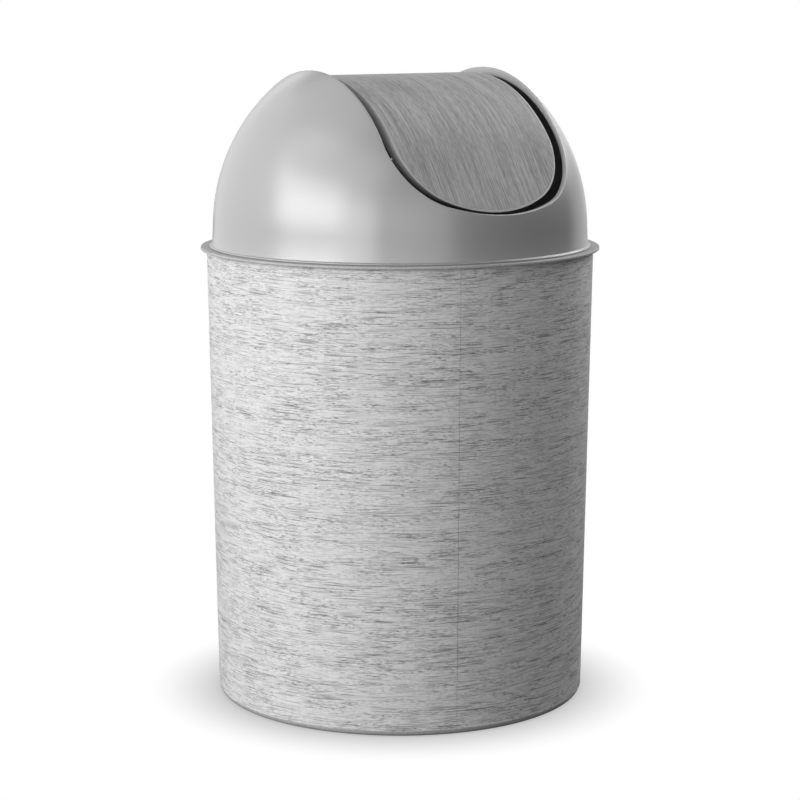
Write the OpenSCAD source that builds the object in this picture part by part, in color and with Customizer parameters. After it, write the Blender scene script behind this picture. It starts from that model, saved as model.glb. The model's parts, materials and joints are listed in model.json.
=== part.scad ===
// Countertop trash can with a dome lid and a swing flap.
// Units are millimetres. +Z is up and z = 0 is the surface that the can stands on.
// The origin is the centre of the foot ring. The flap's front faces -Y and it swings about X.

/* [Tub] */
// Height from the floor to the top of the rim
tub_h = 217; // [150:1:300]
// Radius of the rim's outer edge
rim_r = 95.2; // [86:0.2:110]
// How far the rim stands out past the wrapped wall
rim_out = 2.9; // [1.5:0.1:6]
// Thickness of the rim
rim_t = 1.2; // [0.8:0.1:4]
// Rounding of the rim's outer edges
rim_round = 0.3; // [0.1:0.05:0.4]
// How much smaller the wall's radius is at the floor than at the top
tub_taper = 3.5; // [1:0.5:15]
// Thickness of the tub's wall
tub_wall = 2; // [1.4:0.1:3]
// Thickness of the tub's bottom panel
base_t = 2.4; // [1.6:0.1:4]
// Rounding where the inside wall meets the bottom panel
base_fillet = 5; // [2:0.5:10]
// Rounding of the mouth's inner edge
mouth_round = 0.6; // [0.3:0.1:1]

/* [Foot] */
// Height of the foot ring, which is how far the bottom panel is raised
foot_h = 1.8; // [1:0.1:4]
// Width of the foot ring
foot_w = 5; // [3:0.5:10]
// Rounding of the wall's lower outside corner
foot_round = 2.5; // [1:0.5:4]

/* [Printed wrap] */
// Thickness of the printed film round the tub
wrap_t = 0.25; // [0.15:0.05:0.6]
// Plain strip between the wrap's upper edge and the rim's underside
wrap_top_gap = 0.4; // [0.2:0.1:4]
// Plain strip between the wrap's lower edge and the rounded corner
wrap_low_gap = 0.3; // [0.2:0.1:4]
// Width of the open joint where the wrap's two ends meet
wrap_seam = 0.2; // [0.1:0.05:1]
// Direction of that joint, in degrees from +X
wrap_seam_angle = -106.5; // [-180:0.5:180]

/* [Lid] */
// Thickness of the lid's shell
lid_wall = 2.2; // [1.6:0.1:3]
// Height of the dome's centre above the rim
dome_rise = 9; // [4:0.5:25]
// Draft of the straight band below the dome, in degrees
band_draft = 2.4; // [1.5:0.1:5]
// How far the small bead at the lid's base stands out, which rests on the rim
bead_out = 1.3; // [0.8:0.1:3]
// Thickness of that bead
bead_t = 0.9; // [0.6:0.1:2]
// Depth of the plug that reaches down into the tub's mouth
plug_h = 10; // [5:0.5:20]
// How much narrower the plug is at its lower end
plug_taper = 0.35; // [0.1:0.05:1]

/* [Lid opening] */
// Width of the channel that the flap swings in
open_w = 97; // [84:0.2:108]
// Radius of the opening's lower corners
open_corner = 29; // [20:0.5:38]
// Height of the front and back sills above the dome's centre
sill_z = 12.1; // [8:0.1:20]
// Radius of the bow of each sill
sill_bow = 98; // [80:1:400]
// Thickness of the hem along each side of the channel, and of the hangers
channel_wall = 2; // [1.4:0.1:3]
// Width of the two hangers that carry the flap's sockets
hanger_w = 14; // [12:0.5:24]

/* [Flap] */
// Gap between each side of the flap and the hem beside it
side_gap = 5.2; // [3:0.1:7]
// How far the flap's crown lies below the crests of the two humps
crown_drop = 2.8; // [1:0.1:5]
// How far the centre of the flap's arch lies below the dome's own centre
arch_drop = 5.7; // [0:0.1:12]
// How far the flap's lower edges lie behind the sills
sill_recess = 6.3; // [5:0.1:12]
// Height of the flap's lower edges above the sills
sill_lift = 0.5; // [0:0.1:4]
// How much smaller the flap's corner radius is than the opening's
corner_step = 0.5; // [0:0.5:4]
// Radius of the bow of the flap's lower edges
flap_bow = 67; // [55:1:120]
// Thickness of the flap's skin
flap_t = 2; // [1.4:0.1:3]
// Depth of the skirt turned down along the flap's edge
skirt_h = 4.5; // [3.2:0.1:5]
// Thickness of that skirt
skirt_t = 1.8; // [1.2:0.1:2.4]

/* [Flap film] */
// Thickness of the wood-grain film
film_t = 0.25; // [0.15:0.05:0.6]
// Plain border between the flap's edge and the film's pocket
film_border = 1; // [0.6:0.1:4]
// Gap all round between the film and its pocket
film_gap = 0.15; // [0.1:0.05:0.5]

/* [Pivot] */
// How far the pivot lies below the flap's crown
pivot_drop = 10.2; // [9.4:0.1:12]
// Radius of the pivot pins
pin_r = 2.5; // [1.8:0.1:3]
// Length of each pin inside its socket
pin_engage = 4; // [3:0.1:6]
// Radius of the shoulder at the foot of each pin
shoulder_r = 4; // [3.4:0.1:4.6]
// Radius of the flap's ears around the pivot
ear_r = 5.4; // [4.8:0.1:6]
// Thickness of the flap's ears
ear_t = 2.4; // [2:0.1:4]
// Wall of the socket bosses around the pins
boss_wall = 2.4; // [1.6:0.1:4]
// Width of the stop bar below each socket, which the flap's skirt swings against
stop_w = 12; // [8:0.5:13]
// Swing at which the flap is shown, in degrees: positive pushes the front in
swing = 0; // [-80:1:80]

/* [Fits] */
// Gap between the lid's plug and the tub's mouth
plug_gap = 0.3; // [0.2:0.05:1]
// Layer of glue under the wrap and the film
glue = 0.05; // [0.03:0.01:0.1]
// Gap between each pin and its socket, on the radius
pin_gap = 0.06; // [0.03:0.01:0.1]
// End play of the flap on each side, between shoulder and hanger
end_play = 0.5; // [0.3:0.1:1.5]
// Gap between the ears and the stop bars
stop_gap = 1.2; // [0.6:0.1:3]

/* [Hidden] */
$fn = 128;

plastic = [0.76, 0.76, 0.76];
print_grey = [0.84, 0.84, 0.83];
film_grey = [0.62, 0.62, 0.62];

// Steps along each rounded corner of an outline
arc_steps = 12;
// Overlap that joins one form to the next
weld = 0.4;

// The tub's wall, from the floor up to the underside of the rim
wall_top = tub_h - rim_t;
skin_top_r = rim_r - rim_out;
function skin_r(z) = skin_top_r - tub_taper * (wall_top - z) / wall_top;
function wall_r(z) = skin_r(z) - wrap_t - glue;
function inner_r(z) = wall_r(z) - tub_wall;
base_z = foot_h + base_t;
mouth_r = inner_r(tub_h);

// The lid's dome, measured from the dome's own centre
dome_z = tub_h + dome_rise;
band_r = mouth_r - plug_gap;
// The band meets the sphere at this latitude, a little below the one with the band's own slope
band_top_a = band_draft / 2;
dome_r = (band_r - dome_rise * tan(band_draft)) / (cos(band_top_a) + sin(band_top_a) * tan(band_draft));
cavity_r = dome_r - lid_wall;
// Radius of the band below a dome of radius r, at height z
function band_at(r, z) = r * cos(band_top_a) + (r * sin(band_top_a) - z) * tan(band_draft);

// The channel between the two humps, and the crest circle where its walls meet the dome
open_half = open_w / 2;
crest_r = sqrt(dome_r * dome_r - open_half * open_half);

// The flap, measured from the dome's centre too
flap_half = open_half - side_gap;
crown_z = crest_r - crown_drop;
arch_r = crown_z + arch_drop;
flap_corner = open_corner - corner_step;
flap_low = sill_z + sill_lift;
flap_end_y = sqrt(dome_r * dome_r - sill_z * sill_z) - sill_recess;
flap_end = [flap_low + arch_drop, flap_end_y];
// Angle from the top at which the flap's arch runs out into its straight flanks
flank_a = atan2(flap_end[1], flap_end[0]) - acos(arch_r / norm(flap_end));
pivot_z = crown_z - pivot_drop;
socket_r = pin_r + pin_gap;
boss_r = socket_r + boss_wall;
shoulder_x = open_half - end_play;
pin_tip_x = open_half + pin_engage;

// Points of an arc about c, from angle a0 to a1
function arc(c, r, a0, a1, n = arc_steps) =
    [for (i = [0 : n]) c + r * [cos(a0 + (a1 - a0) * i / n), sin(a0 + (a1 - a0) * i / n)]];

// Centre of the lower corner of an outline w half wide, with corners rc and a bow rb at height low
function corner_at(w, rc, rb, low) = [w - rc, low + rb - sqrt(pow(rb - rc, 2) - pow(w - rc, 2))];

// Front outline, open at the top: two straight sides, two round corners and a bowed lower edge,
// drawn in by e all along
function outline(w, rc, rb, low, e) =
    let (c = corner_at(w, rc, rb, low), bow = asin((w - rc) / (rb - rc)))
    concat(
        [[w - e, dome_r + lid_wall]],
        arc(c, rc - e, 0, bow - 90),
        arc([0, low + rb], rb - e, bow - 90, -bow - 90),
        arc([-c[0], c[1]], rc - e, -bow - 90, -180),
        [[e - w, dome_r + lid_wall]]
    );

function open_outline(e = 0) = outline(open_half, open_corner, sill_bow, sill_z, e);
function flap_outline(e = 0) = outline(flap_half, flap_corner, flap_bow, flap_low, e);

// Side profile of the flap, drawn in by d: an arch over the top and a straight flank on each side
function flank_end(d, low) =
    [((arch_r - d) - (low + arch_drop) * cos(flank_a)) / sin(flank_a), low];
function flap_profile(d = 0) =
    let (low = flap_low - skirt_h, foot = flank_end(d, low))
    concat(
        [[-foot[0], low]],
        arc([0, -arch_drop], arch_r - d, 90 + flank_a, 90 - flank_a, 4 * arc_steps),
        [foot]
    );

// An outline in x and z, run right through the lid along Y
module through_y(points) {
    rotate([90, 0, 0])
        linear_extrude(height = 2 * dome_r + 2 * lid_wall, center = true)
            polygon(points);
}

// A profile in y and z, run across the lid along X
module across_x(points, half) {
    rotate([90, 0, 90])
        linear_extrude(height = 2 * half, center = true)
            polygon(points);
}

// A round bar along X from x0 to x1 at the pivot
module pivot_bar(r, x0, x1) {
    translate([x0, 0, pivot_z])
        rotate([0, 90, 0])
            cylinder(h = x1 - x0, r = r);
}

// Repeats what it is given on the left side
module both_sides() {
    children();
    mirror([1, 0, 0]) children();
}

module tub() {
    inner_low = inner_r(base_z + base_fillet);
    outer_low = wall_r(foot_round);
    color(plastic)
        rotate_extrude()
            polygon(concat(
                [[0, foot_h], [0, base_z]],
                arc([inner_low - base_fillet, base_z + base_fillet], base_fillet, -90, 0),
                arc([mouth_r + mouth_round, tub_h - mouth_round], mouth_round, 180, 90, 6),
                arc([rim_r - rim_round, tub_h - rim_round], rim_round, 90, 0, 4),
                arc([rim_r - rim_round, wall_top + rim_round], rim_round, 0, -90, 4),
                [[wall_r(wall_top), wall_top]],
                arc([outer_low - foot_round, foot_round], foot_round, 0, -90, 8),
                [[outer_low - foot_w, 0], [outer_low - foot_w - foot_h, foot_h]]
            ));
}

// The printed film is one sheet wrapped once round the wall, with an open joint
module tub_wrap() {
    low = foot_round + wrap_low_gap;
    high = wall_top - wrap_top_gap;
    color(print_grey)
        difference() {
            rotate_extrude()
                polygon([
                    [wall_r(low) + glue, low], [skin_r(low), low],
                    [skin_r(high), high], [wall_r(high) + glue, high]
                ]);
            rotate([0, 0, wrap_seam_angle])
                translate([0, -wrap_seam / 2, 0])
                    cube([rim_r, wrap_seam, tub_h]);
        }
}

// A solid dome of radius r on its drafted band, with its base at the rim
module dome_form(r) {
    band_top = r * sin(band_top_a);
    intersection() {
        sphere(r = r);
        translate([-r, -r, band_top - weld]) cube([2 * r, 2 * r, 2 * r]);
    }
    translate([0, 0, -dome_rise])
        cylinder(
            h = dome_rise + band_top + weld,
            r1 = band_at(r, -dome_rise),
            r2 = band_at(r, band_top + weld)
        );
}

// The plug below the rim, solid
module plug_form(r, low) {
    translate([0, 0, -dome_rise - low])
        cylinder(h = low, r1 = r - plug_taper * low / plug_h, r2 = r);
}

// The small rounded bead that carries the lid on the rim, with a fillet up to the band
module bead() {
    tip = band_r + bead_out - bead_t / 2;
    translate([0, 0, -dome_rise])
        rotate_extrude()
            polygon(concat(
                [[band_r - lid_wall / 2, 0]],
                arc([tip, bead_t / 2], bead_t / 2, -90, 90, 6),
                arc([band_r + bead_t / 2, bead_t * 3 / 2], bead_t / 2, 270, 180, 6),
                [[band_r - lid_wall / 2, bead_t * 3 / 2]]
            ));
}

// Side of the channel: a hem turned down along the hump's crest, whose lower edge runs parallel
// to the flap's arch and ends in the dome's shell where the opening's corners begin, and a
// hanger at its middle that carries the flap's socket
module channel_side() {
    side_low = corner_at(open_half, open_corner, sill_bow, sill_z)[1];
    hem_end_y = sqrt(pow(cavity_r + weld, 2) - open_half * open_half - side_low * side_low);
    hem_r = norm([hem_end_y, side_low + arch_drop]);
    intersection() {
        sphere(r = dome_r - lid_wall / 2);
        difference() {
            translate([open_half, -dome_r, side_low])
                cube([channel_wall, 2 * dome_r, dome_r]);
            difference() {
                across_x(arc([0, -arch_drop], hem_r, 0, 180, 6 * arc_steps), dome_r);
                translate([0, -hanger_w / 2, 0])
                    cube([dome_r, hanger_w, dome_r]);
            }
        }
    }
    // Socket boss on the hump's side of the hanger
    pivot_bar(boss_r, open_half + channel_wall / 2, pin_tip_x + end_play + boss_wall / 2);
    // Stop bar below the socket, on the channel's side
    stop_top = pivot_z - ear_r - stop_gap;
    stop_x = flap_half - skirt_t - weld;
    translate([stop_x, -stop_w / 2, side_low])
        cube([open_half + channel_wall / 2 - stop_x, stop_w, stop_top - side_low]);
}

module dome_lid() {
    color(plastic)
        translate([0, 0, dome_z])
            difference() {
                union() {
                    difference() {
                        union() {
                            dome_form(dome_r);
                            plug_form(band_r, plug_h);
                            bead();
                        }
                        dome_form(cavity_r);
                        plug_form(band_at(cavity_r, -dome_rise), plug_h + weld);
                        through_y(open_outline());
                    }
                    both_sides() channel_side();
                }
                both_sides() pivot_bar(socket_r, open_half - weld, pin_tip_x + end_play);
            }
}

// One ear with its pin and shoulder, on the flap's right-hand side
module flap_ear() {
    neck = 2 * (ear_r - weld);
    ear_x = flap_half - ear_t;
    pivot_bar(ear_r, ear_x, flap_half);
    intersection() {
        translate([ear_x, -neck / 2, pivot_z])
            cube([ear_t, neck, pivot_drop - flap_t / 2]);
        across_x(flap_profile(flap_t / 2), flap_half);
    }
    pivot_bar(shoulder_r, flap_half - ear_t / 2, shoulder_x);
    pivot_bar(pin_r, flap_half - ear_t / 2, pin_tip_x);
}

// Everything that lies under the flap's skin, drawn in by d, inside its outline drawn in by e
module flap_form(d, e) {
    intersection() {
        across_x(flap_profile(d), flap_half + weld);
        through_y(flap_outline(e));
    }
}

module swing_flap() {
    color(plastic)
        at_swing() {
            difference() {
                flap_form(0, 0);
                flap_form(flap_t, skirt_t);
                across_x(flap_profile(skirt_h), flap_half + 2 * weld);
                difference() {
                    through_y(flap_outline(film_border));
                    across_x(flap_profile(film_t + glue), flap_half + weld);
                }
            }
            both_sides() flap_ear();
        }
}

module flap_film() {
    color(film_grey)
        at_swing()
            difference() {
                flap_form(0, film_border + film_gap);
                across_x(flap_profile(film_t), flap_half + weld);
            }
}

// Puts the flap in the lid, turned about its pivot
module at_swing() {
    translate([0, 0, dome_z + pivot_z])
        rotate([swing, 0, 0])
            translate([0, 0, -pivot_z])
                children();
}

tub();
tub_wrap();
dome_lid();
swing_flap();
flap_film();
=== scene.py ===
"""A countertop trash can with a dome lid and a swing flap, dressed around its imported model.

Every length is in metres. +Z is up, the floor is z = 0 and the flap's front faces -Y.
"""
import json
import math

import bpy
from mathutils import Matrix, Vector


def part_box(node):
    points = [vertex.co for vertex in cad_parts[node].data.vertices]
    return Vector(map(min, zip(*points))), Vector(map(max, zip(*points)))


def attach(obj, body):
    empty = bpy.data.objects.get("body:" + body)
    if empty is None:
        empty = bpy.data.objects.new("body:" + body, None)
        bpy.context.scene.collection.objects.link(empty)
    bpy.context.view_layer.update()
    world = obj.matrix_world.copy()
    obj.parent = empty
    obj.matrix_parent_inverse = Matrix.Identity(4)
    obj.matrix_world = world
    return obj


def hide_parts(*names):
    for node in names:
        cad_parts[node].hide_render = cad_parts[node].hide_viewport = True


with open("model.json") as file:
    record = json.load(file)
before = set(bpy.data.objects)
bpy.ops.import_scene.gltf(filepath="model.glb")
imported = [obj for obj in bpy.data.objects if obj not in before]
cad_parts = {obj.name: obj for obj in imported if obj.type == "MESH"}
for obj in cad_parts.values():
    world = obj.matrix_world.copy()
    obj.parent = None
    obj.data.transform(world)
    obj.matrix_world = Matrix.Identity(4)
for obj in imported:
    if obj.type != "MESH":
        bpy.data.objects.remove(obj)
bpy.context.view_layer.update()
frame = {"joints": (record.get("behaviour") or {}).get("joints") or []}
bpy.ops.object.select_all(action="DESELECT")


# ---------------------------------------------------------------- Camera
# A long lens a little above the lid, which looks down at the can from its front left.
camera_azimuth = math.radians(-33.42)
camera_reach = 1.129
camera_height = 0.336
camera_pitch = math.radians(9.78)
lens_mm = 106.4

bpy.ops.object.camera_add(
    location=(
        camera_reach * math.sin(camera_azimuth),
        -camera_reach * math.cos(camera_azimuth),
        camera_height,
    ),
    rotation=(math.radians(90) - camera_pitch, 0, camera_azimuth),
)
camera = bpy.context.object
camera.data.lens = lens_mm
bpy.context.scene.camera = camera


# ---------------------------------------------------------------- Tub
# One moulded cup of satin grey plastic with a flat rim round its mouth and a foot ring below.
# It is lathed: a ring is drawn at the middle of the floor and extruded from point to point of
# the wall's profile, up the inside, over the rim and down the outside.
rim_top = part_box("tub")[1].z
rim_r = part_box("tub")[1].x
rim_out = 0.0029
rim_t = 0.0012
rim_round = 0.0003
tub_taper = 0.0035
tub_wall = 0.002
floor_t = 0.0024
floor_fillet = 0.005
foot_h = 0.0018
foot_w = 0.005
foot_round = 0.0025
film_stack = 0.0003
around = 224


def arc(centre, radius, start, end, steps):
    """Points (r, z) of an arc about centre, from angle start to end in degrees."""
    turn = [math.radians(start + (end - start) * i / steps) for i in range(steps + 1)]
    return [(centre[0] + radius * math.cos(a), centre[1] + radius * math.sin(a)) for a in turn]


def skin_r(z):
    """Radius of the wrapped wall's outside at height z."""
    top = rim_top - rim_t
    return rim_r - rim_out - tub_taper * (top - z) / top


def lathe(name, profile):
    """A closed solid of revolution, from a ring extruded along a profile of (r, z)."""
    (r, z), *rest = profile
    bpy.ops.mesh.primitive_circle_add(vertices=around, radius=r, location=(0, 0, z))
    piece = bpy.context.object
    piece.name = piece.data.name = name
    bpy.ops.object.transform_apply()
    bpy.ops.object.mode_set(mode="EDIT")
    bpy.ops.mesh.select_all(action="SELECT")
    for new_r, new_z in rest:
        bpy.ops.mesh.extrude_region_move(TRANSFORM_OT_translate={"value": (0, 0, new_z - z)})
        bpy.ops.transform.resize(value=(new_r / r, new_r / r, 1), center_override=(0, 0, new_z))
        r, z = new_r, new_z
    bpy.ops.mesh.select_all(action="SELECT")
    bpy.ops.mesh.fill_holes(sides=0)
    bpy.ops.mesh.normals_make_consistent(inside=False)
    bpy.ops.object.mode_set(mode="OBJECT")
    return piece


def smooth(piece, degrees=30):
    """Smooth shading, with edges sharper than that angle left crisp."""
    bpy.ops.object.select_all(action="DESELECT")
    piece.select_set(True)
    bpy.context.view_layer.objects.active = piece
    bpy.ops.object.shade_smooth_by_angle(angle=math.radians(degrees))
    piece.select_set(False)


inner_low_r = skin_r(foot_h + floor_t + floor_fillet) - film_stack - tub_wall
mouth_r = skin_r(rim_top) - film_stack - tub_wall
outer_low_r = skin_r(foot_round) - film_stack
wall_top = rim_top - rim_t
centre_r = 0.001
tub = lathe("Tub", [
    (centre_r, foot_h + floor_t),
    *arc((inner_low_r - floor_fillet, foot_h + floor_t + floor_fillet), floor_fillet, -90, 0, 8),
    *arc((mouth_r + rim_round, rim_top - rim_round), rim_round, 180, 90, 4),
    *arc((rim_r - rim_round, rim_top - rim_round), rim_round, 90, 0, 5),
    *arc((rim_r - rim_round, wall_top + rim_round), rim_round, 0, -90, 5),
    (skin_r(wall_top) - film_stack, wall_top),
    *arc((outer_low_r - foot_round, foot_round), foot_round, 0, -90, 8),
    (outer_low_r - foot_w, 0),
    (outer_low_r - foot_w - foot_h, foot_h),
    (centre_r, foot_h),
])
smooth(tub)


def add_node(tree, kind, inputs=(), **settings):
    """A shader node with its settings, and inputs given as values or as sockets to link."""
    made = tree.nodes.new(kind)
    for name, value in settings.items():
        setattr(made, name, value)
    for name, value in dict(inputs).items():
        if isinstance(value, bpy.types.NodeSocket):
            tree.links.new(value, made.inputs[name])
        else:
            made.inputs[name].default_value = value
    return made


def new_material(name):
    """An empty node material: its tree and its surface shader."""
    material = bpy.data.materials.new(name)
    material.use_nodes = True
    return material, material.node_tree, material.node_tree.nodes["Principled BSDF"]


def satin_plastic(name, grey, gloss_roughness, metallic=0.0, speckle=0.0):
    """Moulded plastic with the faint grain that a spark-eroded mould leaves on it."""
    material, tree, surface = new_material(name)
    place = add_node(tree, "ShaderNodeTexCoord").outputs["Object"]
    grain = add_node(tree, "ShaderNodeTexNoise", {"Vector": place, "Scale": 1300.0, "Detail": 2.0})
    tint = add_node(tree, "ShaderNodeMapRange", {
        "Value": grain.outputs["Fac"], "From Min": 0.3, "From Max": 0.7,
        "To Min": grey * (1 - speckle), "To Max": grey * (1 + speckle),
    })
    tree.links.new(tint.outputs["Result"], surface.inputs["Base Color"])
    bump = add_node(tree, "ShaderNodeBump", {
        "Height": grain.outputs["Fac"], "Strength": 0.06, "Distance": 0.00004,
    })
    tree.links.new(bump.outputs["Normal"], surface.inputs["Normal"])
    surface.inputs["Roughness"].default_value = gloss_roughness
    surface.inputs["Metallic"].default_value = metallic
    return material


tub.data.materials.append(satin_plastic("Tub plastic", 0.38, 0.50, speckle=0.18))
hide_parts("tub")
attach(tub, "tub_body")


# ---------------------------------------------------------------- Printed wrap
# One sheet of printed film glued round the tub's wall. Its cross-section is a thin upright
# strip, spun once round the axis from one side of its joint to the other.
wrap_low, wrap_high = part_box("tub_wrap")[0].z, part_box("tub_wrap")[1].z
wrap_t = 0.00025
seam_angle = math.radians(-106.5)
seam_gap = 0.0002
wrap_steps = 240
wrap_rows = 12
ground = 0.655


def wrap_sheet():
    """The film as a closed sheet, spun from one side of its joint round to the other."""
    bpy.ops.mesh.primitive_grid_add(x_subdivisions=1, y_subdivisions=wrap_rows, size=2)
    piece = bpy.context.object
    piece.name = piece.data.name = "TubWrap"
    start = seam_angle + seam_gap / 2 / rim_r
    for vertex in piece.data.vertices:
        z = wrap_low + (wrap_high - wrap_low) * (vertex.co.y + 1) / 2
        r = skin_r(z) - (wrap_t if vertex.co.x < 0 else 0)
        vertex.co = (r * math.cos(start), r * math.sin(start), z)
    bpy.ops.object.mode_set(mode="EDIT")
    bpy.ops.mesh.select_all(action="SELECT")
    bpy.ops.mesh.spin(
        steps=wrap_steps, angle=2 * math.pi - seam_gap / rim_r, center=(0, 0, 0), axis=(0, 0, 1),
    )
    bpy.ops.mesh.select_all(action="SELECT")
    bpy.ops.mesh.normals_make_consistent(inside=False)
    bpy.ops.object.mode_set(mode="OBJECT")
    return piece


wrap = wrap_sheet()
smooth(wrap)


def streaked_print():
    """Light grey film printed with fine broken level streaks, in denser and thinner bands."""
    material, tree, surface = new_material("Streaked wrap")
    place = add_node(tree, "ShaderNodeTexCoord").outputs["Object"]

    def cells(run, rise, detail, shift):
        """Noise whose cells are run long round the tub and rise high, in metres."""
        where = add_node(tree, "ShaderNodeMapping", {
            "Vector": place, "Location": (shift, 0, 0), "Scale": (1 / run, 1 / run, 1 / rise),
        })
        return add_node(tree, "ShaderNodeTexNoise", {
            "Vector": where.outputs["Vector"], "Scale": 1.0, "Detail": detail, "Roughness": 0.55,
        }).outputs["Fac"]

    def fade(value, low, high, to_low, to_high):
        return add_node(tree, "ShaderNodeMapRange", {
            "Value": value, "From Min": low, "From Max": high, "To Min": to_low, "To Max": to_high,
        }, interpolation_type="SMOOTHSTEP").outputs["Result"]

    def times(a, b):
        return add_node(tree, "ShaderNodeMath", {0: a, 1: b}, operation="MULTIPLY").outputs[0]

    def ink(lines, band, depth):
        """What is left of the ground's brightness under lines that a band lets through."""
        dark = times(times(lines, band), depth)
        return add_node(tree, "ShaderNodeMath", {0: 1.0, 1: dark}, operation="SUBTRACT").outputs[0]

    bands = fade(cells(0.060, 0.0060, 2.0, 0.0), 0.36, 0.60, 0.45, 1.0)
    patches = fade(cells(0.022, 0.0035, 2.0, 3.0), 0.40, 0.60, 0.25, 1.0)
    long_lines = fade(cells(0.0130, 0.00034, 1.0, 7.0), 0.53, 0.63, 0.0, 1.0)
    dashes = fade(cells(0.0026, 0.00032, 1.0, 11.0), 0.52, 0.64, 0.0, 1.0)
    haze = fade(cells(0.0100, 0.0022, 2.0, 17.0), 0.40, 0.75, 0.0, 1.0)
    speckle = fade(cells(0.0010, 0.00040, 1.0, 23.0), 0.3, 0.7, ground * 0.93, ground * 1.05)
    shade = times(ink(long_lines, bands, 0.58), ink(dashes, patches, 0.54))
    shade = times(times(shade, ink(haze, bands, 0.16)), speckle)
    tree.links.new(shade, surface.inputs["Base Color"])
    surface.inputs["Roughness"].default_value = 0.5
    return material


wrap.data.materials.append(streaked_print())
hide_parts("tub_wrap")
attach(wrap, "tub_body")


# ---------------------------------------------------------------- Dome lid
# One moulded shell of satin grey plastic: a plug for the tub's mouth, a bead that rests on the
# rim, a short band and a dome, which a channel cuts open from front to back. Its sections follow
# the channel's edge on the dome, so that the edge is one smooth round lip.
dome_rise = 0.009
dome_z = rim_top + dome_rise
open_half = 0.0485
crest_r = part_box("dome_lid")[1].z - dome_z
dome_r = math.hypot(crest_r, open_half)
lid_wall = 0.0022
cavity_r = dome_r - lid_wall
band_r = mouth_r - 0.0003
band_top = dome_r * math.sin(math.radians(1.2))
bead_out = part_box("dome_lid")[1].x - band_r
bead_t = 0.0009
plug_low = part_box("dome_lid")[0].z
plug_taper = 0.00035
open_corner = 0.029
sill_z = 0.0121
sill_bow = 0.098
arch_drop = 0.0057
hem_t = 0.002
hem_merge = 0.0004
lip_round = 0.0005
hem_round = 0.0004


def outline_corner(half, corner, bow, low):
    """Centre (x, z) of an outline's lower right corner, and the angle that its bow spans."""
    centre_z = low + bow - math.sqrt((bow - corner) ** 2 - (half - corner) ** 2)
    return half - corner, centre_z, math.asin((half - corner) / (bow - corner))


def channel_edge(bow_steps=10, corner_steps=24, side_steps=34):
    """A quarter of the channel's edge on the dome, from the middle of the front sill to the
    crest: each point with the outward normal of the channel's wall there."""
    corner_x, corner_z, bow_angle = outline_corner(open_half, open_corner, sill_bow, sill_z)
    points = []
    for i in range(bow_steps):
        a = bow_angle * i / bow_steps
        x, z = sill_bow * math.sin(a), sill_z + sill_bow * (1 - math.cos(a))
        points.append((x, z, math.sin(a), -math.cos(a)))
    for i in range(corner_steps):
        a = bow_angle - math.pi / 2 + (math.pi / 2 - bow_angle) * i / corner_steps
        x, z = corner_x + open_corner * math.cos(a), corner_z + open_corner * math.sin(a)
        points.append((x, z, math.cos(a), math.sin(a)))
    side_angle = math.acos(corner_z / crest_r)
    for i in range(side_steps + 1):
        a = side_angle * (1 - i / side_steps)
        points.append((open_half, crest_r * math.cos(a), 1, 0))
    return [
        (Vector((x, -math.sqrt(max(0, dome_r**2 - x * x - z * z)), z)), Vector((nx, 0, nz)))
        for x, z, nx, nz in points
    ]


def closed_mesh(name, vertices, faces):
    """An object of these faces, with doubles merged and its normals turned outward."""
    mesh = bpy.data.meshes.new(name)
    mesh.from_pydata(vertices, [], faces)
    piece = bpy.data.objects.new(name, mesh)
    bpy.context.scene.collection.objects.link(piece)
    bpy.context.view_layer.objects.active = piece
    bpy.ops.object.select_all(action="DESELECT")
    piece.select_set(True)
    bpy.ops.object.mode_set(mode="EDIT")
    bpy.ops.mesh.select_all(action="SELECT")
    bpy.ops.mesh.remove_doubles(threshold=0.00001)
    bpy.ops.mesh.normals_make_consistent(inside=False)
    bpy.ops.object.mode_set(mode="OBJECT")
    return piece


corner_z = outline_corner(open_half, open_corner, sill_bow, sill_z)[1]
hem_end_y = math.sqrt((cavity_r + hem_merge) ** 2 - open_half**2 - corner_z**2)
hem_r = math.hypot(hem_end_y, corner_z + arch_drop)


def rounded_turn(before, corner, after, radius, steps=4):
    """Points of a small rounding in place of a corner between two neighbours."""
    back, on = before - corner, after - corner
    start = corner + back.normalized() * min(radius, back.length * 0.45)
    end = corner + on.normalized() * min(radius, on.length * 0.45)
    return [
        start.lerp(corner, i / steps).lerp(corner.lerp(end, i / steps), i / steps)
        for i in range(steps + 1)
    ]


def hem_section(point):
    """The hem's section below one point of the channel's straight side: where its face ends,
    and the lower and upper end of its back, which stands on the dome's inside."""
    steepest = math.atan2(math.sqrt(dome_r**2 - open_half**2 - corner_z**2), corner_z + arch_drop)
    foot_end = math.atan2(math.sqrt(cavity_r**2 - open_half**2 - corner_z**2), corner_z + arch_drop)
    turn = math.atan2(-point.y, point.z + arch_drop) * foot_end / steepest

    def on_cavity(x):
        rise = arch_drop * math.cos(turn)
        return rise + math.sqrt(rise**2 + cavity_r**2 - x * x - arch_drop**2)

    def place(x, r):
        return Vector((x, -r * math.sin(turn), r * math.cos(turn) - arch_drop))

    foot = place(open_half, min(hem_r, on_cavity(open_half)))
    back_x = math.sqrt(max(open_half**2, cavity_r**2 - foot.y**2 - foot.z**2))
    back_x = min(back_x, open_half + hem_t)
    return foot, Vector((back_x, foot.y, foot.z)), place(back_x, on_cavity(back_x))


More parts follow.
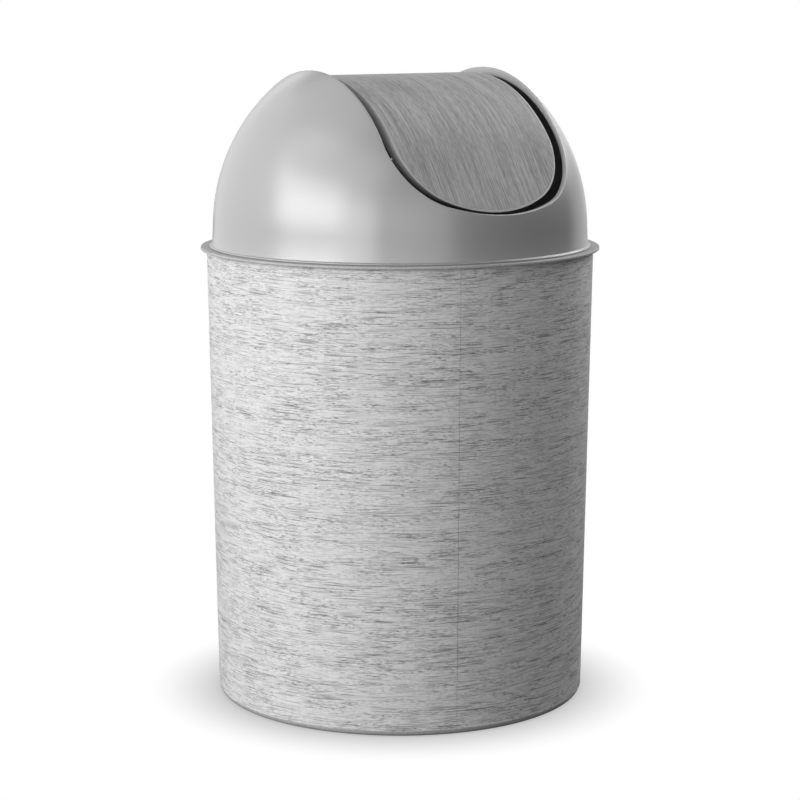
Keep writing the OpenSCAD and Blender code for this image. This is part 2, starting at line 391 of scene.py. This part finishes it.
def lid_column(point, wall_normal, edge_way):
    """The lid's section through one point of the channel's edge, from the plug's foot up the
    outside, over the lip, down the channel's wall and down the inside, about the dome's centre."""
    out = point.normalized()
    along_dome = edge_way.cross(out)
    along_dome = along_dome if along_dome.dot(wall_normal) > 0 else -along_dome
    along_wall = edge_way.cross(wall_normal).normalized()
    along_wall = along_wall if along_wall.dot(out) < 0 else -along_wall
    between = along_dome.angle(along_wall)
    reach = lip_round / math.tan(between / 2)
    middle = (along_dome + along_wall).normalized()
    lip_centre = point + middle * (lip_round / math.sin(between / 2))
    start = (point + along_dome * reach - lip_centre).normalized()
    end = (point + along_wall * reach - lip_centre).normalized()
    lip = [lip_centre + start.slerp(end, i / 6) * lip_round for i in range(7)]

    def ring(bearing, r, z):
        return Vector((r * math.cos(bearing), r * math.sin(bearing), z))

    low = math.asin(band_top / dome_r)
    base = -dome_rise
    top = lip[0].normalized() * dome_r
    bearing, latitude = math.atan2(top.y, top.x), math.asin(top.z / dome_r)
    profile = [(band_r - plug_taper, plug_low - dome_z), (band_r, base)]
    profile += arc((band_r + bead_out - bead_t / 2, base + bead_t / 2), bead_t / 2, -90, 90, 6)
    profile += arc((band_r + bead_t / 2, base + bead_t * 3 / 2), bead_t / 2, 270, 180, 4)
    rise = [low + (latitude - low) * i / 41 for i in range(41)]
    profile += [(dome_r * math.cos(a), dome_r * math.sin(a)) for a in rise]
    outside = [ring(bearing, r, z) for r, z in profile]

    if wall_normal.x < 1:
        foot = Vector((point.x, -math.sqrt(cavity_r**2 - point.x**2 - point.z**2), point.z))
        low_back = top_back = foot
    else:
        foot, low_back, top_back = hem_section(point)
    bearing, latitude = math.atan2(top_back.y, top_back.x), math.asin(top_back.z / cavity_r)
    fall = [latitude + (low - latitude) * i / 24 for i in range(1, 25)]
    profile = [(cavity_r * math.cos(a), cavity_r * math.sin(a)) for a in fall]
    profile += [(band_r - lid_wall, base), (band_r - lid_wall - plug_taper, plug_low - dome_z)]
    inside = [ring(bearing, r, z) for r, z in profile]

    hemmed = (low_back - foot).length > 0.0001
    turn_in = rounded_turn(lip[-1], foot, low_back if hemmed else inside[0], hem_round)
    wall = [lip[-1].lerp(turn_in[0], i / 5) for i in range(1, 5)]
    if not hemmed:
        low_back, top_back = turn_in[-1], turn_in[-1].lerp(inside[0], 0.5)
    back = [low_back.lerp(top_back, i / 4) for i in range(5)]
    return outside + lip + wall + turn_in + back + inside


def dome_shell():
    """The whole lid: a quarter of its columns, mirrored to the back and to the left."""
    edge = channel_edge()
    quarter = []
    for i, (point, normal) in enumerate(edge):
        before = edge[i - 1][0] if i else Vector((-edge[1][0].x, edge[1][0].y, edge[1][0].z))
        after = edge[i + 1][0] if i + 1 < len(edge) else Vector((before.x, -before.y, before.z))
        quarter.append(lid_column(point, normal, (after - before).normalized()))

    def mirrored(columns, x, y):
        return [[Vector((p.x * x, p.y * y, p.z)) for p in column] for column in columns]

    columns = quarter + mirrored(quarter[-2::-1], 1, -1)
    columns += mirrored(columns[-2:0:-1], -1, 1)
    count, height = len(columns), len(columns[0])
    vertices = [(p.x, p.y, p.z + dome_z) for column in columns for p in column]
    faces = [
        (i * height + j, (i + 1) % count * height + j,
         (i + 1) % count * height + (j + 1) % height, i * height + (j + 1) % height)
        for i in range(count) for j in range(height)
    ]
    return closed_mesh("DomeLid", vertices, faces)


lid = dome_shell()


def rounded_edges(piece, rounding):
    """Rounds the sharp edges of a piece and leaves its round sides alone."""
    bevel = piece.modifiers.new("Rounding", "BEVEL")
    bevel.width, bevel.segments = rounding, 3
    bevel.limit_method, bevel.angle_limit = "ANGLE", math.radians(60)
    bpy.ops.object.modifier_apply(modifier=bevel.name)
    return piece


def block(corner, opposite, rounding):
    """A moulded block between two corners."""
    size = [abs(a - b) for a, b in zip(corner, opposite)]
    bpy.ops.mesh.primitive_cube_add(size=1, location=(corner + opposite) / 2, scale=size)
    bpy.ops.object.transform_apply()
    return rounded_edges(bpy.context.object, rounding)


def pivot_bar(side, radius, start, end, rounding=0.0):
    """A round bar along the flap's axis, from start to end out from the middle of the can."""
    bpy.ops.mesh.primitive_cylinder_add(
        vertices=64, radius=radius, depth=end - start, rotation=(0, math.pi / 2, 0),
        location=(side * (start + end) / 2, 0, pivot_z),
    )
    bpy.ops.object.transform_apply()
    return rounded_edges(bpy.context.object, rounding) if rounding else bpy.context.object


def weld(piece, part, operation="UNION"):
    """Joins a part to a piece, or cuts it out of the piece."""
    joint = piece.modifiers.new("Weld", "BOOLEAN")
    joint.operation, joint.object = operation, part
    bpy.context.view_layer.objects.active = piece
    bpy.ops.object.modifier_apply(modifier=joint.name)
    bpy.data.objects.remove(part)


# Inside each hump a hanger comes down from the hem, with a socket for the flap's pin and a bar
# below it that stops the flap's swing.
pivot_z = next(j for j in frame["joints"] if j["name"] == "flap_swing")["pos_m"][2]
hanger_w = 0.014
hanger_top = 0.073
face_step = 0.00002
socket_r, boss_r = 0.00256, 0.00496
socket_end, boss_end = 0.0530, 0.0542
stop_w, stop_in, stop_top = 0.012, 0.0411, dome_z + 0.05536
for side in (-1, 1):
    def at(x, y, z):
        return Vector((side * x, side * y, z))

    hanger_foot = dome_z + corner_z
    weld(lid, block(
        at(open_half + face_step, -hanger_w / 2, hanger_foot),
        at(open_half + hem_t, hanger_w / 2, dome_z + hanger_top), 0.0002,
    ))
    weld(lid, block(
        at(stop_in, -stop_w / 2, hanger_foot + face_step),
        at(open_half + hem_t / 2, stop_w / 2, stop_top), 0.0005,
    ))
    weld(lid, pivot_bar(side, boss_r, open_half + hem_t / 2, boss_end, 0.0005))
    weld(lid, pivot_bar(side, socket_r, open_half - hem_merge, socket_end), "DIFFERENCE")
smooth(lid, 35)
lid.data.materials.append(satin_plastic("Lid plastic", 0.365, 0.28, metallic=0.16))
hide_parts("dome_lid")
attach(lid, "lid_body")


# ---------------------------------------------------------------- Swing flap
# One moulded arched panel of the same plastic, with a skirt turned down along its edge and a
# shallow pocket in its top for the film. Grids bent to the arch make its skins. The skirt is
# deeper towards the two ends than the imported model's.
side_gap = 0.0052
crown_drop = 0.0028
flap_half = open_half - side_gap
arch_r = crest_r - crown_drop + arch_drop
flap_corner = open_corner - 0.0005
flap_bow = 0.067
flap_low = sill_z + 0.0005
sill_recess = 0.0063
flap_t = 0.002
skirt_h = 0.0045
skirt_t = 0.0018
end_drop = 0.0014
drop_start, drop_run = 0.4, 0.2
film_t = 0.00025
film_border = 0.001
pocket_depth = 0.0003
edge_round = 0.0004
flap_columns, flap_rows = 72, 96
ear_r, ear_t, neck_w = 0.0054, 0.0024, 0.0100
shoulder_r, shoulder_end = 0.0040, 0.0480
pin_r, pin_end = 0.0025, 0.0525

flap_end_y = math.sqrt(dome_r**2 - sill_z**2) - sill_recess
flap_end_d = math.hypot(flap_end_y, flap_low + arch_drop)
flank_a = math.atan2(flap_end_y, flap_low + arch_drop) - math.acos(arch_r / flap_end_d)


def flap_point(across, along, inset, depth):
    """A point of the flap: across and along run from -1 to 1 over an outline drawn in by inset,
    on a skin that lies depth below the top one."""
    corner_x, corner_z, bow_angle = outline_corner(flap_half, flap_corner, flap_bow, flap_low)
    x = (flap_half - inset) * across
    if abs(x) <= (flap_bow - inset) * math.sin(bow_angle):
        low = flap_low + flap_bow - math.sqrt((flap_bow - inset) ** 2 - x * x)
    else:
        low = corner_z - math.sqrt(max(0, (flap_corner - inset) ** 2 - (abs(x) - corner_x) ** 2))
    r = arch_r - depth
    arc_foot = r * math.cos(flank_a) - arch_drop
    if low < arc_foot:
        run = r * flank_a + (arc_foot - low) / math.sin(flank_a)
    else:
        run = r * math.acos((low + arch_drop) / r)
    v = run * along
    if abs(v) <= r * flank_a:
        return Vector((x, r * math.sin(v / r), r * math.cos(v / r) - arch_drop + dome_z))
    past = abs(v) - r * flank_a
    y = r * math.sin(flank_a) + past * math.cos(flank_a)
    return Vector((x, math.copysign(y, v), arc_foot - past * math.sin(flank_a) + dome_z))


def flap_grid(inset, depth, drop=0.0):
    """Rows of points over the whole flap, closer together towards its sides, on a skin that lies
    deeper by drop towards the flap's two ends."""
    across = [math.sin(math.pi / 2 * (2 * i / flap_columns - 1)) for i in range(flap_columns + 1)]
    rows = []
    for j in range(flap_rows + 1):
        along = 2 * j / flap_rows - 1
        lower = depth + drop * min(1, max(0, abs(along) - drop_start) / drop_run)
        rows.append([flap_point(u, along, inset, lower) for u in across])
    return rows


def border(grid):
    """The points round the edge of a grid, once round."""
    right = [row[-1] for row in grid[1:-1]]
    left = [row[0] for row in grid[-2:0:-1]]
    return grid[0] + right + grid[-1][::-1] + left


def arched_solid(name, top, edge_loops, bottom):
    """A closed solid between two grids, with loops of points round its edge on the way down."""
    columns, rows = len(top[0]), len(top)
    vertices = [p for row in top for p in row] + [p for row in bottom for p in row]
    faces = []
    for base, flip in ((0, False), (columns * rows, True)):
        for j in range(rows - 1):
            for i in range(columns - 1):
                a = base + j * columns + i
                quad = (a, a + 1, a + 1 + columns, a + columns)
                faces.append(quad[::-1] if flip else quad)
    index = [[j * columns + i for i in range(columns)] for j in range(rows)]
    loops = [border(index)]
    for loop in edge_loops:
        loops.append([len(vertices) + i for i in range(len(loop))])
        vertices += loop
    loops.append([columns * rows + i for i in loops[0]])
    count = len(loops[0])
    for upper, lower in zip(loops, loops[1:]):
        for i in range(count):
            faces.append((upper[i], lower[i], lower[(i + 1) % count], upper[(i + 1) % count]))
    return closed_mesh(name, vertices, faces)


round_steps = 5
rounded = [
    (edge_round * (1 - math.sin(a)), edge_round * (1 - math.cos(a)))
    for a in (math.pi / 2 * i / round_steps for i in range(round_steps + 1))
]
flap = arched_solid(
    "SwingFlap",
    flap_grid(film_border, pocket_depth),
    [border(flap_grid(film_border, 0))]
    + [border(flap_grid(inset, depth)) for inset, depth in rounded]
    + [border(flap_grid(inset, skirt_h, end_drop)) for inset in (0, skirt_t)],
    flap_grid(skirt_t, flap_t),
)
for side in (-1, 1):
    def at(x, y, z):
        return Vector((side * x, side * y, z))

    ear_in, ear_out = flap_half - ear_t, flap_half - face_step
    neck = block(
        at(ear_in, -neck_w / 2, pivot_z),
        at(ear_out, neck_w / 2, dome_z + crest_r - crown_drop - flap_t / 2), 0.0002,
    )
    weld(flap, neck)
    weld(flap, pivot_bar(side, ear_r, ear_in + face_step, ear_out - face_step, 0.0002))
    weld(flap, pivot_bar(side, shoulder_r, flap_half - ear_t / 2, shoulder_end, 0.0002))
    weld(flap, pivot_bar(side, pin_r, flap_half - ear_t / 2, pin_end, 0.0004))
smooth(flap, 35)
flap.data.materials.append(satin_plastic("Flap plastic", 0.40, 0.34, metallic=0.08))
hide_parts("swing_flap")
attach(flap, "flap_body")


# ---------------------------------------------------------------- Wood-grain film
# One sheet of printed film in the flap's pocket, whose grain runs from front to back.
film_gap = 0.00015

film = arched_solid(
    "FlapFilm",
    flap_grid(film_border + film_gap, 0),
    [],
    flap_grid(film_border + film_gap, film_t),
)
smooth(film, 35)


def wood_grain():
    """Mid grey film printed with fine straight wood grain."""
    material, tree, surface = new_material("Wood-grain film")

    def arithmetic(operation, *values):
        made = add_node(tree, "ShaderNodeMath", enumerate(values), operation=operation)
        return made.outputs[0]

    place = add_node(tree, "ShaderNodeTexCoord").outputs["Object"]
    axes = add_node(tree, "ShaderNodeSeparateXYZ", {"Vector": place}).outputs
    height = arithmetic("SUBTRACT", axes["Z"], dome_z - arch_drop)
    angle = arithmetic("ARCTAN2", axes["Y"], height)

    def grain(across, along, detail, shift):
        """Noise whose cells are across wide, in metres, and along long, in radians."""
        u = arithmetic("MULTIPLY", axes["X"], 1 / across)
        v = arithmetic("MULTIPLY", angle, 1 / along)
        where = add_node(tree, "ShaderNodeCombineXYZ", {"X": u, "Y": v, "Z": shift})
        return add_node(tree, "ShaderNodeTexNoise", {
            "Vector": where.outputs[0], "Scale": 1.0, "Detail": detail, "Roughness": 0.6,
        }).outputs["Fac"]

    fine = grain(0.00045, 0.06, 1.0, 0.0)
    lines = grain(0.00070, 0.45, 1.0, 3.0)
    broad = grain(0.0050, 0.6, 2.0, 5.0)
    mix = arithmetic("MULTIPLY", fine, 0.38)
    mix = arithmetic("MULTIPLY_ADD", lines, 0.38, mix)
    mix = arithmetic("MULTIPLY_ADD", broad, 0.24, mix)
    ramp = add_node(tree, "ShaderNodeValToRGB", {"Fac": mix})
    dark, light = ramp.color_ramp.elements
    dark.position, dark.color = 0.36, (0.17, 0.17, 0.17, 1)
    light.position, light.color = 0.64, (0.425, 0.425, 0.425, 1)
    tree.links.new(ramp.outputs["Color"], surface.inputs["Base Color"])
    surface.inputs["Roughness"].default_value = 0.5
    return material


film.data.materials.append(wood_grain())
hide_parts("flap_film")
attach(film, "flap_body")


# ---------------------------------------------------------------- Floor and light
# A white floor that only the camera sees, with the soft contact shadow of the can on it, and
# soft panels of light all round: a group of bright ones at the front left, a weaker one in
# front, two broad ones on the left, and three behind the can and its right side.
floor_size = 60.0
bpy.ops.mesh.primitive_plane_add(size=floor_size, location=(0, 0, 0))
floor = bpy.context.object
floor.name = "Floor"
floor.visible_diffuse = False
floor.visible_glossy = False
white = bpy.data.materials.new("White floor")
white.use_nodes = True
tree = white.node_tree
tree.nodes.clear()
shade = add_node(tree, "ShaderNodeAmbientOcclusion", {"Distance": 0.035}, samples=16)
bright = add_node(tree, "ShaderNodeMapRange", {
    "Value": shade.outputs["AO"], "From Min": 0.45, "From Max": 1.0, "To Min": 0.55, "To Max": 1.0,
})
glow = add_node(tree, "ShaderNodeEmission", {"Strength": bright.outputs["Result"]})
end = add_node(tree, "ShaderNodeOutputMaterial", {"Surface": glow.outputs[0]})
floor.data.materials.append(white)

world = bpy.data.worlds.new("Studio")
bpy.context.scene.world = world
world.use_nodes = True
tree = world.node_tree
tree.nodes.clear()
path = add_node(tree, "ShaderNodeLightPath")
ambient = add_node(tree, "ShaderNodeBackground", {"Color": (1, 1, 1, 1), "Strength": 0.05})
backdrop = add_node(tree, "ShaderNodeBackground", {"Color": (1, 1, 1, 1), "Strength": 1.0})
both = add_node(tree, "ShaderNodeMixShader", {
    0: path.outputs["Is Camera Ray"], 1: ambient.outputs[0], 2: backdrop.outputs[0],
})
end = add_node(tree, "ShaderNodeOutputWorld", {"Surface": both.outputs[0]})
bpy.context.scene.view_settings.view_transform = "Standard"


def softbox(name, azimuth, elevation, width, height, radiance, distance=1.5):
    """A soft panel that faces the can, in degrees to the right of the camera and above level."""
    a, e = camera_azimuth + math.radians(azimuth), math.radians(elevation)
    way = Vector((math.sin(a) * math.cos(e), -math.cos(a) * math.cos(e), math.sin(e)))
    panel = bpy.data.lights.new(name, "AREA")
    panel.shape = "RECTANGLE"
    panel.size, panel.size_y = width, height
    panel.energy = radiance * math.pi * width * height
    lamp = bpy.data.objects.new(name, panel)
    bpy.context.scene.collection.objects.link(lamp)
    lamp.location = way * distance + Vector((0, 0, 0.2))
    lamp.rotation_mode = "QUATERNION"
    lamp.rotation_quaternion = way.to_track_quat("Z", "Y")
    lamp.visible_camera = False


softboxes = (
    ("Key", -58, 16, 1.25, 0.62, 3.25),
    ("KeyLow", -60, 5, 0.8, 0.8, 2.9),
    ("KeyHigh", -52, 37, 2.0, 0.8, 1.3),
    ("FrontLeft", -29, 5, 0.85, 0.8, 3.4),
    ("Front", 12, 5, 1.0, 0.9, 1.2),
    ("Left", -118, 14, 2.5, 1.5, 1.1),
    ("LeftTop", -98, 60, 1.7, 1.0, 0.8),
    ("RightHigh", 123, 35, 1.3, 1.2, 3.6),
    ("RearRight", 145, 16, 1.0, 1.3, 0.8),
    ("Rear", 180, 18, 1.3, 1.2, 0.7),
)
for name, azimuth, elevation, width, height, radiance in softboxes:
    softbox(name, azimuth, elevation, width, height, radiance)
